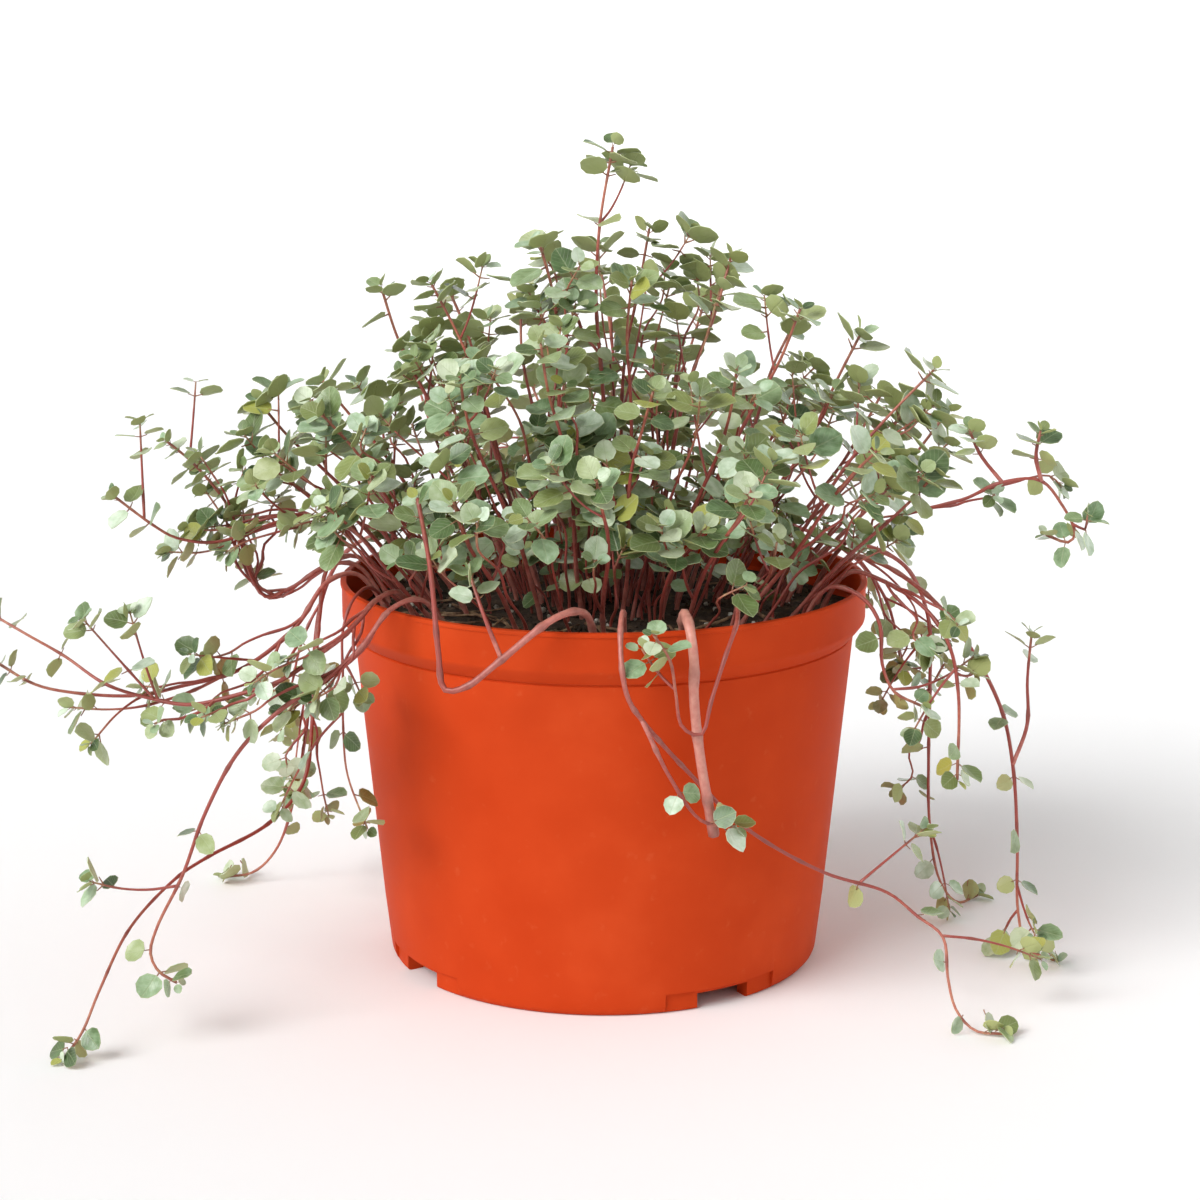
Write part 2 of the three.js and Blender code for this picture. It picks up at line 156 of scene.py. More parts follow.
class Wire:  # one socket, with arithmetic that adds Math nodes
    def __init__(self, look, socket):
        self.look = look
        self.socket = socket

    def maths(self, operation, *values):
        return self.look.node("ShaderNodeMath", {"operation": operation}, dict(enumerate(values)))

    def __add__(self, other):
        return self.maths("ADD", self, other)

    def __radd__(self, other):
        return self.maths("ADD", other, self)

    def __sub__(self, other):
        return self.maths("SUBTRACT", self, other)

    def __rsub__(self, other):
        return self.maths("SUBTRACT", other, self)

    def __mul__(self, other):
        return self.maths("MULTIPLY", self, other)

    def __rmul__(self, other):
        return self.maths("MULTIPLY", other, self)


class Look:  # one material with a Principled shader
    def __init__(self, name, **fixed):
        self.material = bpy.data.materials.new(name)
        self.material.use_nodes = True
        self.tree = self.material.node_tree
        self.shader = self.tree.nodes["Principled BSDF"]
        for socket, value in fixed.items():
            self.shader.inputs[socket].default_value = value

    def node(self, kind, settings=None, inputs=None, output=0):
        made = self.tree.nodes.new(kind)
        for key, value in (settings or {}).items():
            if key == "stops":
                self.setStops(made.color_ramp, value)
            else:
                setattr(made, key, value)
        for key, value in (inputs or {}).items():
            if isinstance(value, Wire):
                self.tree.links.new(value.socket, made.inputs[key])
            else:
                made.inputs[key].default_value = value
        return Wire(self, made.outputs[output])

    def setStops(self, ramp, stops):
        while len(ramp.elements) < len(stops):
            ramp.elements.new(0.5)
        for element, (place, colour) in zip(ramp.elements, stops):
            element.position = place
            element.color = (*colour, 1)

    def feed(self, socket, wire):
        self.tree.links.new(wire.socket, self.shader.inputs[socket])

    def blend(self, share, first, second, kind="MIX"):
        settings = {"data_type": "RGBA", "blend_type": kind}
        colours = {6: first, 7: second}
        fourths = {key: value if isinstance(value, Wire) else (*value, 1) for key, value in colours.items()}
        return self.node("ShaderNodeMix", settings, {0: share, **fourths}, 2)

    def attribute(self, name):
        return self.node("ShaderNodeAttribute", {"attribute_name": name}, output=2)

    def place(self):
        return self.node("ShaderNodeTexCoord", output=3)

    def noise(self, scale, detail=3, vector=None):
        inputs = {"Vector": vector or self.place(), "Scale": scale, "Detail": detail}
        return self.node("ShaderNodeTexNoise", None, inputs)

    def between(self, value, low, high):
        inputs = {"Value": value, "From Min": low, "From Max": high}
        return self.node("ShaderNodeMapRange", {"interpolation_type": "SMOOTHSTEP"}, inputs)

    def bump(self, height, strength, depth):
        inputs = {"Height": height, "Strength": strength, "Distance": depth}
        self.feed("Normal", self.node("ShaderNodeBump", None, inputs))


makeCamera(cameraLook)
makeLights(lightLook)
makeFloor(lightLook)
print("camera, lights and floor are set")


potLook = dict(
    lipProud=0.4, lipHeight=1.3, collarHeight=11, collarStep=3.3, stepHeight=3.8, wall=1.5,
    footRadius=61.3, heelFlare=1.9, footRounding=3.2, footWidth=3.8, floorRise=5.5, steps=144,
    notchTurn=32.5, notchWidth=17, notchHeight=4.6, panelWidth=36, panelHeight=5.8, panelDepth=0.9,
    drains=8, drainRadius=4, drainRing=40, drainSides=24, panelSteps=15, crease=0.45,
    edge=0.25, edgeSteps=2, sharpTurn=0.9, sharpBelow=7,
)


def potOutline(look):
    rim = rimRadius / mm
    top = potHeight / mm
    collar = rim - look["lipProud"]
    collarLow = top - look["collarHeight"]
    stepLow = collarLow - look["stepHeight"]
    wallTop = collar - look["collarStep"]
    foot = look["footRadius"]
    round_ = look["footRounding"]
    wallLow = foot + look["heelFlare"]
    wall = look["wall"]
    floorTop = look["floorRise"] + wall
    corner = wallLow + (wallTop - wallLow) * floorTop / stepLow - wall
    outside = [
        (0, look["floorRise"]), (foot - look["footWidth"], look["floorRise"]),
        (foot - look["footWidth"], 0), (foot, 0),
    ]
    for i in range(1, 5):  # rounded heel
        turn = math.radians(90 * i / 4)
        outside.append((foot + (wallLow - foot) * math.sin(turn), round_ * (1 - math.cos(turn))))
    for i in range(1, 7):  # tapered wall, in bands
        share = i / 6
        z = round_ + (stepLow - 1.2 - round_) * share
        outside.append((wallLow + (wallTop - wallLow) * z / stepLow, z))
    outside += [
        (wallTop - 0.1, stepLow - 0.75), (wallTop - look["crease"], stepLow - 0.5),
        (wallTop - look["crease"], stepLow - 0.15),
        (wallTop + 0.1, stepLow), (wallTop + 0.5, stepLow + 0.3),
        (collar - 0.6, collarLow - 0.7), (collar - 0.12, collarLow), (collar, collarLow + 0.7),
        (collar, top - look["lipHeight"] - 0.25), (collar + 0.05, top - look["lipHeight"]),
        (rim - 0.05, top - look["lipHeight"] + 0.1), (rim, top - look["lipHeight"] + 0.3),
        (rim, top - 0.35), (rim - 0.12, top - 0.1), (rim - 0.4, top),
        (collar - wall + 0.3, top), (collar - wall, top - 0.3),
        (collar - wall, collarLow + wall), (wallTop - wall, stepLow + wall / 2),
        (corner, floorTop + round_), (corner - round_ * 0.3, floorTop + round_ * 0.3),
        (corner - round_, floorTop), (0, floorTop),
    ]
    return outside


def makeCutter(name, bm):
    bmesh.ops.recalc_face_normals(bm, faces=bm.faces)
    mesh = toMesh(bm, name)
    cutter = bpy.data.objects.new(name, mesh)
    cutter.location = potAxis
    bpy.context.scene.collection.objects.link(cutter)
    return cutter


def notchCutter(look):
    bm = bmesh.new()
    for i in range(4):
        turn = Matrix.Rotation(math.radians(look["notchTurn"] + 90 * i), 4, "Z")
        shift = Matrix.Translation((0, -look["footRadius"] * mm, 0))
        size = Matrix.Diagonal((look["notchWidth"] * mm, 16 * mm, look["notchHeight"] * 2 * mm, 1))
        bmesh.ops.create_cube(bm, size=1, matrix=turn @ shift @ size)
    for i in range(look["drains"]):
        turn = Matrix.Rotation(math.pi * (2 * i / look["drains"] + 1 / look["steps"]), 4, "Z")
        shift = Matrix.Translation((0, -look["drainRing"] * mm, look["floorRise"] * mm))
        bmesh.ops.create_cone(
            bm, cap_ends=True, segments=look["drainSides"], radius1=look["drainRadius"] * mm,
            radius2=look["drainRadius"] * mm, depth=8 * mm, matrix=turn @ shift)
    return makeCutter("notchCutter", bm)


def panelCutter(look):
    bm = bmesh.new()
    inner = (look["footRadius"] + look["heelFlare"] - look["panelDepth"]) * mm
    outer, low, high = rimRadius, -2 * mm, look["panelHeight"] * mm
    span = look["panelWidth"] / look["footRadius"]
    for i in range(4):
        start = math.radians(look["notchTurn"] + 90 * i) - span / 2
        corners = [(inner, low), (outer, low), (outer, high), (inner, high)]
        verts = [bm.verts.new((r * math.sin(start), -r * math.cos(start), z)) for r, z in corners]
        face = bm.faces.new(verts)
        bmesh.ops.spin(
            bm, geom=[face], cent=(0, 0, 0), axis=(0, 0, 1), angle=span,
            steps=look["panelSteps"])
    return makeCutter("panelCutter", bm)


def makePot(look):
    bm = bmesh.new()
    line = [bm.verts.new((0, -r * mm, z * mm)) for r, z in potOutline(look)]
    edges = [bm.edges.new(pair) for pair in zip(line, line[1:])]
    bmesh.ops.spin(
        bm, geom=line + edges, cent=(0, 0, 0), axis=(0, 0, 1), angle=2 * math.pi,
        steps=look["steps"], use_merge=True)
    bmesh.ops.remove_doubles(bm, verts=bm.verts, dist=0.01 * mm)
    bmesh.ops.recalc_face_normals(bm, faces=bm.faces)
    bmesh.ops.translate(bm, verts=bm.verts, vec=potAxis)
    mesh = toMesh(bm, "pot")
    pot = addPiece("nursery_pot", mesh, plasticFinish(), "pot_plastic", "pot")
    cutters = [panelCutter(look), notchCutter(look)]
    for cutter in cutters:
        cut = pot.modifiers.new(cutter.name, "BOOLEAN")
        cut.operation = "DIFFERENCE"
        cut.solver = "EXACT"
        cut.object = cutter
    bpy.context.view_layer.update()
    mesh = bpy.data.meshes.new_from_object(pot.evaluated_get(bpy.context.evaluated_depsgraph_get()))
    pot.modifiers.clear()
    for cutter in cutters:
        bpy.data.objects.remove(cutter)
    bm = bmesh.new()
    bm.from_mesh(mesh)
    bmesh.ops.remove_doubles(bm, verts=bm.verts, dist=0.02 * mm)
    bmesh.ops.dissolve_degenerate(bm, edges=bm.edges, dist=0.01 * mm)
    sharp = [edge for edge in bm.edges if edge.is_manifold and edge.calc_face_angle() > look["sharpTurn"]]
    low = [edge for edge in sharp if max(vert.co.z for vert in edge.verts) < look["sharpBelow"] * mm]
    bmesh.ops.bevel(
        bm, geom=low, affect="EDGES", offset=look["edge"] * mm, segments=look["edgeSteps"],
        profile=0.5, material=-1, clamp_overlap=True)
    bmesh.ops.remove_doubles(bm, verts=bm.verts, dist=0.01 * mm)
    for face in bm.faces:
        face.smooth = True
    for edge in bm.edges:
        edge.smooth = not edge.is_manifold or edge.calc_face_angle() < 0.6
    bm.to_mesh(mesh)
    bm.free()
    pot.data = mesh
    print("pot made:", len(mesh.polygons), "faces")
    return pot


def plasticFinish():
    look = Look("orangePlastic", **{"Specular IOR Level": 0.03})
    broad = look.noise(18, 2)
    cloud = look.noise(70, 4)
    grain = look.noise(2600, 2)
    shift = broad * 0.6 + cloud * 0.4
    colour = look.node("ShaderNodeValToRGB", {"stops": [
        (0.3, (0.51, 0.045, 0.008)), (0.55, (0.56, 0.055, 0.011)),
        (0.75, (0.62, 0.07, 0.016))]}, {0: shift})
    scuff = look.between(look.noise(240, 6), 0.62, 0.78)
    colour = look.blend(scuff * 0.1, colour, (0.8, 0.26, 0.12))
    look.feed("Base Color", colour)
    look.feed("Roughness", 0.4 + cloud * 0.16 + scuff * 0.08)
    look.bump(grain * 0.5 + cloud * 0.5, 0.12, 0.2 * mm)
    return look.material


pot = makePot(potLook)


soilLook = dict(
    crown=2.2, clear=2.3, steps=120, rings=30, lump=1.3, crumbs=900, crumbSize=(0.7, 2.2),
    perlite=150, perliteSize=(0.7, 2.6), grainSink=0.25, grainRoughness=0.07, seed=4,
    litter=70, litterLength=(6, 22), litterFront=(-75, 30), litterRing=(0.55, 0.98),
    litterRadius=(0.25, 0.6), litterBend=0.15, litterEdge=3,
)


def soilHeight(reach):  # without the lumps
    share = min(reach / (rimRadius - 0.4 * mm), 1)
    return soilTop + soilLook["crown"] * mm * (1 - share ** 2)


def lumps(x, y):
    rough = noise.fractal(Vector((x, y, 0)) * 160, 0.9, 2.1, 4) * soilLook["lump"] * mm
    return rough + noise.noise(Vector((x, y, 0.3)) * 40) * soilLook["lump"] * mm


def makeSoil(look):
    bm = bmesh.new()
    top = soilHigh.z - 1.2 * look["crown"] * mm
    collar = rimRadius - look["clear"] * mm
    wallLow = (soilHigh.x - soilLow.x) / 2 * 0.83
    line = [(0, soilLow.z), (wallLow, soilLow.z), (collar - 5.5 * mm, top - 2.5 * mm)]
    for i in range(look["rings"]):
        reach = collar * (1 - i / look["rings"])
        line.append((reach, soilHeight(reach)))
    line.append((0, soilHeight(0)))
    verts = [bm.verts.new((0, -r, z)) for r, z in line]
    edges = [bm.edges.new(pair) for pair in zip(verts, verts[1:])]
    bmesh.ops.spin(
        bm, geom=verts + edges, cent=(0, 0, 0), axis=(0, 0, 1), angle=2 * math.pi,
        steps=look["steps"], use_merge=True)
    bmesh.ops.remove_doubles(bm, verts=bm.verts, dist=0.01 * mm)
    bmesh.ops.recalc_face_normals(bm, faces=bm.faces)
    for vert in bm.verts:
        if vert.co.z > top - mm:
            vert.co.z += lumps(vert.co.x, vert.co.y)
    for face in bm.faces:
        face.smooth = True
    bmesh.ops.translate(bm, verts=bm.verts, vec=potAxis)
    mesh = toMesh(bm, "soil")
    addPiece("peat_soil", mesh, peatFinish(), "soil", "soil")


def scatter(name, material, count, size, offset):
    chance = Random(soilLook["seed"] + offset)
    bm = bmesh.new()
    for _ in range(count):
        reach = (rimRadius - 5 * mm) * math.sqrt(chance.random())
        place = around(chance.uniform(0, 360), reach, 0)
        across = chance.uniform(*size) * chance.uniform(0.6, 1) * mm
        height = soilHeight(reach) + lumps(place.x - potAxis.x, place.y - potAxis.y)
        angle = chance.uniform(0, 6.28)
        turn = Matrix.Rotation(angle, 4, (chance.random(), chance.random(), chance.random() + 0.1))
        squeeze = Matrix.Diagonal((1, chance.uniform(0.6, 1), chance.uniform(0.5, 1), 1))
        shift = Matrix.Translation((place.x, place.y, height + across * (0.5 - soilLook["grainSink"])))
        made = bmesh.ops.create_icosphere(
            bm, subdivisions=1, radius=across / 2, matrix=shift @ turn @ squeeze)
        for vert in made["verts"]:
            dent = Vector((chance.uniform(-1, 1), chance.uniform(-1, 1), chance.uniform(-1, 1)))
            vert.co += dent * across * soilLook["grainRoughness"]
    return addPiece(name, toMesh(bm, name), material, "soil")


def tubeCurve(name):  # its points' radii are the tubes' radii
    curve = bpy.data.curves.new(name, "CURVE")
    curve.dimensions = "3D"
    curve.bevel_depth = 1
    curve.bevel_resolution = 1
    return curve


def makeLitter(look):
    chance = Random(look["seed"] + 2)
    curve = tubeCurve("litter")
    for i in range(look["litter"]):
        bearing = chance.uniform(*look["litterFront"]) if i % 2 else chance.uniform(0, 360)
        reach = (rimRadius - 2 * look["litterEdge"] * mm) * chance.uniform(*look["litterRing"])
        length = chance.uniform(*look["litterLength"]) * mm
        angle = math.radians(bearing + chance.gauss(90, 40))
        heading = Vector((math.cos(angle), math.sin(angle), 0))
        middle = around(bearing, reach, 0)
        radius = chance.uniform(*look["litterRadius"]) * mm
        spline = curve.splines.new("POLY")
        spline.points.add(4)
        bend = chance.uniform(-look["litterBend"], look["litterBend"])
        for k, point in enumerate(spline.points):
            share = k / 4 - 0.5
            bow = heading.cross(up) * length * bend * (share * share * 4)
            place = middle + heading * length * share + bow
            outward = place - potAxis
            limit = rimRadius - look["litterEdge"] * mm
            if outward.length > limit:
                place = potAxis + outward.normalized() * limit
            local = place - potAxis
            z = soilHeight(local.length) + lumps(local.x, local.y) + radius + 0.4 * mm + abs(share) * mm
            point.co = (place.x, place.y, z, 1)
            point.radius = radius * (1 - 0.3 * abs(share))
    return addPiece("dry_stem_litter", tubesToMesh("litter", curve), litterFinish(), "soil")


def tubesToMesh(name, curve, marks=None):  # round tubes along a curve's splines, their ends closed
    holder = bpy.data.objects.new(name, curve)
    bpy.context.scene.collection.objects.link(holder)
    mesh = bpy.data.meshes.new_from_object(holder.evaluated_get(bpy.context.evaluated_depsgraph_get()))
    bpy.data.objects.remove(holder)
    bpy.data.curves.remove(curve)
    mesh.name = name
    for key, values in (marks or {}).items():
        sides = len(mesh.vertices) // len(values)
        layer = mesh.attributes.new(key, "FLOAT", "POINT")
        layer.data.foreach_set("value", [value for value in values for _ in range(sides)])
    bm = bmesh.new()
    bm.from_mesh(mesh)
    bmesh.ops.holes_fill(bm, edges=[edge for edge in bm.edges if edge.is_boundary], sides=6)
    bmesh.ops.recalc_face_normals(bm, faces=bm.faces)
    for face in bm.faces:
        face.smooth = len(face.verts) < 6
    bm.to_mesh(mesh)
    bm.free()
    return mesh


def peatFinish():
    look = Look("peat", Roughness=0.95)
    clods = look.noise(260, 6)
    fibres = look.noise(1300, 5)
    tone = clods * 0.6 + fibres * 0.4
    colour = look.node("ShaderNodeValToRGB", {"stops": [
        (0.32, (0.012, 0.008, 0.005)), (0.5, (0.05, 0.03, 0.018)),
        (0.68, (0.14, 0.088, 0.055))]}, {0: tone})
    look.feed("Base Color", colour)
    look.bump(tone, 0.9, 1.2 * mm)
    return look.material


def perliteFinish():
    look = Look("perlite", Roughness=0.9)
    tone = look.noise(900, 4)
    colour = look.node("ShaderNodeValToRGB", {"stops": [
        (0.35, (0.2, 0.16, 0.12)), (0.52, (0.5, 0.46, 0.4)), (0.7, (0.78, 0.76, 0.71))]}, {0: tone})
    look.feed("Base Color", colour)
    look.bump(tone, 0.6, 0.4 * mm)
    return look.material


def litterFinish():
    look = Look("dryStems", Roughness=0.8)
    tone = look.noise(420, 4)
    colour = look.node("ShaderNodeValToRGB", {"stops": [
        (0.35, (0.12, 0.06, 0.035)), (0.55, (0.3, 0.18, 0.1)), (0.7, (0.46, 0.33, 0.2))]}, {0: tone})
    look.feed("Base Color", colour)
    look.bump(tone, 0.5, 0.3 * mm)
    return look.material


makeSoil(soilLook)
scatter("peat_crumbs", peatFinish(), soilLook["crumbs"], soilLook["crumbSize"], 0)
scatter("perlite_grains", perliteFinish(), soilLook["perlite"], soilLook["perliteSize"], 1)
makeLitter(soilLook)
print("soil, perlite and litter made")


# Stems that lean, trail or hook over the rim: bearing where each comes up, then the places it
# passes: bearing from the front, mm out from the rim, and mm above the rim or, if negative,
# the share of the way from the rim down to the surface
outerShoots = [
    dict(name="front_hook_shoot", radius=1.35, bearing=-2,
        route=[(-4, -6, 4), (-9, 3, 5), (-18, 12, -0.05), (-23, 16, -0.11), (-26.5, 17, -0.12),
        (-28, 16, -0.03), (-31, 12, 17), (-35, 9, 35)],
        twigs=[[(-18, 12, -0.05), (-21, 11, 6), (-25, 7, 16)]]),
    dict(name="front_cut_shoot", radius=1.35, bearing=20, leaves=0,
        route=[(17, -4, 4), (16, 5, 2), (16, 9, -0.06), (16, 9, -0.14), (18, 6, -0.3), (22, 2.5, -0.51)]),
    dict(name="front_curl_shoot", radius=0.9, bearing=32,
        route=[(29, -3, 4), (25, 6, 2), (21, 12, -0.04), (18, 14, -0.14), (16, 15, -0.22),
        (13, 14, -0.2), (12, 13, -0.12), (11, 13, -0.04), (8, 15, 3)]),
    dict(name="front_long_shoot", radius=0.9, bearing=5,
        route=[(4, -4, 5), (3, 5, 3), (3, 11, -0.06), (4, 11, -0.13), (7, 6, -0.2), (18, -1, -0.36),
        (29, 2, -0.5), (45, 9, -0.64), (55, 20, -0.71), (56, 28, -0.76), (56, 36, -0.8),
        (54, 40, -0.89), (53, 44, -0.96), (53, 50, -1), (54, 57, -1)],
        twigs=[[(7, 6, -0.2), (12, 8, -0.34), (17, 11, -0.44), (24, 9, -0.47)]]),
    dict(name="right_front_hook_shoot", radius=0.9, bearing=60,
        route=[(60, -4, 4), (60, 6, 2), (59, 12, -0.04), (59, 13, -0.14), (60, 16, -0.21),
        (63, 22, -0.25)]),
    dict(name="right_front_shoot", radius=0.9, bearing=76,
        route=[(73, -4, 5), (71, 6, 4), (68, 20, -0.02), (66, 28, -0.1), (66, 31, -0.22),
        (65, 32, -0.44)]),
    dict(name="right_arch_shoot", radius=0.9, bearing=103,
        route=[(96, -7, 6), (86, -3, 12), (80, 9, 20), (76, 28, 27), (75, 37, 32), (76, 48, 33),
        (77.5, 54, 26), (79, 58, 17), (80, 56, 14), (80, 50, 16)],
        twigs=[[(75, 37, 32), (74, 32, 40), (73, 29, 47)], [(76, 48, 33), (75, 47, 40), (75, 48, 47)]]),
    dict(name="right_long_shoot", radius=0.9, bearing=96,
        route=[(94, -5, 4), (91, 3, 3.5), (87, 14, -0.02), (84, 25, -0.11), (84, 39, -0.33),
        (83, 43, -0.48), (82, 45, -0.68), (82, 46, -0.88), (81, 49, -0.97), (81, 57, -1)],
        twigs=[[(83, 43, -0.48), (85, 47, -0.38), (87, 47, -0.27), (88, 48, -0.15)]]),
    dict(name="right_side_shoot", radius=0.9, bearing=112,
        route=[(110, -4, 4), (107, 8, 3), (105, 18, -0.03), (106, 26, -0.18), (106, 27, -0.37),
        (107, 28, -0.57), (107, 29, -0.77), (106, 32, -0.93), (106, 38, -1), (108, 47, -1)]),
    dict(name="left_long_shoot", radius=0.9, bearing=-54,
        route=[(-52, -5, 4), (-50, 4, 4), (-48, 17, -0.03), (-49, 24, -0.07), (-51, 35, -0.13),
        (-54, 43, -0.16), (-58, 54, -0.19), (-61, 62, -0.18), (-64, 72, -0.15), (-68, 81, -0.09),
        (-70, 90, -0.04), (-73, 99, 0.5)]),
    dict(name="left_low_shoot", radius=0.9, bearing=-76,
        route=[(-75, -4, 4), (-73, 5, 3), (-70, 16, -0.08), (-69, 32, -0.17), (-71, 48, -0.21),
        (-72, 60, -0.23), (-74, 78, -0.22), (-75, 87, -0.2), (-77, 97, -0.15)]),
    dict(name="left_front_shoot", radius=0.9, bearing=-42,
        route=[(-43, -4, 4), (-44, 6, 3), (-45, 16, -0.06), (-47, 26, -0.13), (-50, 37, -0.2),
        (-53, 46, -0.3), (-55, 54, -0.45), (-56, 60, -0.6), (-57, 67, -0.73), (-57, 69, -0.79),
        (-56, 68, -0.83), (-55, 64, -0.86)]),
    dict(name="left_side_shoot", radius=0.9, bearing=-96,
        route=[(-95, -4, 4), (-94, 4, 2), (-92, 7, -0.12), (-89, 8, -0.25), (-87, 9, -0.38),
        (-83, 12, -0.54), (-78, 22, -0.62), (-70, 43, -0.66), (-66, 54, -0.68), (-62, 70, -0.76),
        (-58, 83, -0.87), (-56.5, 90, -0.95), (-56, 96, -1)]),
    dict(name="left_fine_shoot", radius=0.65, bearing=-65,
        route=[(-62, -3, 3.5), (-59, 4, 2), (-57, 9, -0.05), (-55, 11, -0.16), (-53, 13, -0.3),
        (-52, 13, -0.4), (-48, 11, -0.53)]),
    dict(name="left_arch_shoot", radius=0.9, bearing=-104,
        route=[(-96, -8, 6), (-89, -1, 15), (-85, 7, 18.5), (-83, 16, 18), (-81, 35, 13),
        (-80, 46, 15), (-79, 52, 19), (-79, 63, 28)]),
    dict(name="left_upturned_shoot", radius=0.9, bearing=-86,
        route=[(-85, -5, 4), (-85, 4, 4), (-85, 14, -0.02), (-85, 22, -0.04), (-86, 27, 7),
        (-88, 32, 21), (-88, 36, 27), (-88, 42, 34), (-88, 49, 40)]),
    dict(name="back_long_shoot", radius=0.9, bearing=172,
        route=[(172, -4, 4), (172, 6, 3), (171, 16, -0.04), (168, 26, -0.14), (165, 30, -0.34),
        (162, 33, -0.6), (160, 38, -0.85), (158, 46, -0.97), (155, 58, -1)]),
    dict(name="back_left_shoot", radius=0.9, bearing=-140,
        route=[(-140, -4, 4), (-141, 6, 3), (-142, 18, -0.04), (-145, 30, -0.12), (-148, 36, -0.3),
        (-150, 36, -0.55), (-150, 33, -0.72)]),
    dict(name="back_right_shoot", radius=0.9, bearing=142,
        route=[(141, -4, 4), (140, 6, 4), (137, 20, -0.01), (133, 32, -0.08), (130, 42, -0.22),
        (128, 47, -0.42), (127, 54, -0.5), (126, 60, -0.42)]),
    dict(name="back_arch_shoot", radius=0.9, bearing=-166,
        route=[(-168, -8, 6), (-171, -1, 13), (-171, 12, 20), (-169, 28, 24), (-168, 40, 20),
        (-167, 48, 11)]),
    dict(name="left_back_shoot", radius=0.9, bearing=-120,
        route=[(-119, -4, 4), (-119, 6, 3), (-120, 18, -0.05), (-121, 27, -0.2), (-120, 30, -0.45),
        (-118, 33, -0.7), (-117, 40, -0.9), (-116, 48, -0.98), (-115, 57, -1)]),
]

# Upright stems: bearing of the tip, its reach from the pot's axis and its height above the rim, mm
crownTips = [
    (174, 1, 120), (-61, 21, 95), (35, 17, 84), (153, 22, 96), (-90, 47, 82), (-104, 67, 79), (70, 56, 77),
    (94, 76, 67), (78, 92, 60), (66, 100, 36), (-95, 99, 48), (110, 36, 88), (97, 103, 44), (-40, 62, 62),
    (-68, 84, 50), (-18, 48, 70), (12, 52, 58), (38, 60, 64), (52, 92, 44), (26, 84, 36), (0, 82, 40),
    (-28, 86, 34), (-50, 96, 30), (128, 74, 64), (152, 60, 72), (178, 52, 80), (-156, 64, 70),
    (-130, 62, 76), (-116, 92, 50), (-140, 94, 46), (-166, 92, 42), (166, 90, 46), (143, 98, 40),
    (120, 100, 44),
]

routeLook = dict(
    stem=0.9, fine=0.65, clear=0.3, depth=7, ring=13, soilDrop=10.8, crownBends=6,
    fanSpread=1.74, fanHeight=100, fanPower=1.1, wave=1.1, waveTurns=(7, 5), waveShift=(2.4, 1.7),
)


def spot(place, radius):
    bearing, out, rise = place
    lying = radius + routeLook["clear"] * mm
    if rise > 0:
        z = potHeight + rise * mm
    else:
        z = potHeight + (lying - potHeight) * -rise
    return around(bearing, rimRadius + out * mm, z)


def planted(root, points):
    top = soilHeight((root - potAxis).to_2d().length)
    below = Vector((root.x, root.y, top - routeLook["depth"] * mm))
    above = Vector((root.x, root.y, top + routeLook["clear"] * mm))
    return [below, above, *points]


def fan(height):
    look = routeLook
    return 1 + look["fanSpread"] * (max(height, 0) / look["fanHeight"]) ** look["fanPower"]


def crownRoute(tip, index):
    bearing, reach, rise = tip
    tall = rise + routeLook["soilDrop"]
    width = reach / fan(tall)
    root = around(bearing, width * mm, 0)
    base = soilHeight(width * mm)
    points = []
    count = routeLook["crownBends"]
    turnX, turnY = routeLook["waveTurns"]
    shiftX, shiftY = routeLook["waveShift"]
    for i in range(1, count + 1):
        share = i / count
        opened = fan(share * tall)
        wave = routeLook["wave"] * opened * share ** 0.5
        aside = math.sin(share * turnX + index * shiftX)
        shift = Vector((aside, math.cos(share * turnY + index * shiftY), 0))
        place = potAxis + (root - potAxis) * opened + shift * wave * mm
        place.z = base + (routeLook["clear"] + share * tall) * mm
        points.append(place)
    return planted(root, points)


# A smooth line through the places, in even steps
def smoothLine(places, step):
    line = []
    last = len(places) - 1
    for i in range(last):
        p1, p2 = places[i], places[i + 1]
        p0 = places[i - 1] if i else p1 * 2 - p2
        p3 = places[i + 2] if i + 2 <= last else p2 * 2 - p1
        d0, d1, d2 = (max((b - a).length, 1e-6) ** 0.5 for a, b in ((p0, p1), (p1, p2), (p2, p3)))
        t1 = ((p1 - p0) / d0 - (p2 - p0) / (d0 + d1) + (p2 - p1) / d1) * d1
        t2 = ((p2 - p1) / d1 - (p3 - p1) / (d1 + d2) + (p3 - p2) / d2) * d1
        for k in range(12):
            t = k / 12
            bend = (p1 - p2) * 2 + t1 + t2
            lean = (p2 - p1) * 3 - t1 * 2 - t2
            line.append(p1 + t1 * t + lean * t ** 2 + bend * t ** 3)
    line.append(places[-1].copy())
    return evenly(line, step)


def evenly(line, step):
    marks = [0.0]
    for a, b in zip(line, line[1:]):
        marks.append(marks[-1] + (b - a).length)
    count = max(3, round(marks[-1] / step))
    made, k = [], 0
    for i in range(count + 1):
        goal = marks[-1] * i / count
        while k < len(line) - 2 and marks[k + 1] < goal:
            k += 1
        share = (goal - marks[k]) / max(marks[k + 1] - marks[k], 1e-9)
        made.append(line[k].lerp(line[k + 1], min(max(share, 0), 1)))
    return made


stemLook = dict(
    step=2.2, taper=0.5, slim=0.8, knot=0.42, knotLong=1.3, bareSpacing=12, spacingSpread=(0.85, 1.15),
    lowestKnot=4, seed=11, edge=4, bends=6, bendWave=1.5, rootUp=4,
    siblings=2, siblingNear=(3, 9), siblingOut=(7, 19), siblingLength=(0.42, 0.9), siblingRadius=0.52,
    siblingSpread=(0.75, 1.15),
    branches=1, branchOut=(7, 18), branchLength=(18, 46), branchStart=(0.2, 0.62), branchRadius=0.46,
    trailEvery=36, trailRadius=0.42, trailLength=(8, 32), trailLift=(-0.7, 0.5),
    young=2, youngLength=(22, 44), sprigs=1, sprigRadius=0.38, sprigLength=(8, 20), sprigLift=0.6,
)


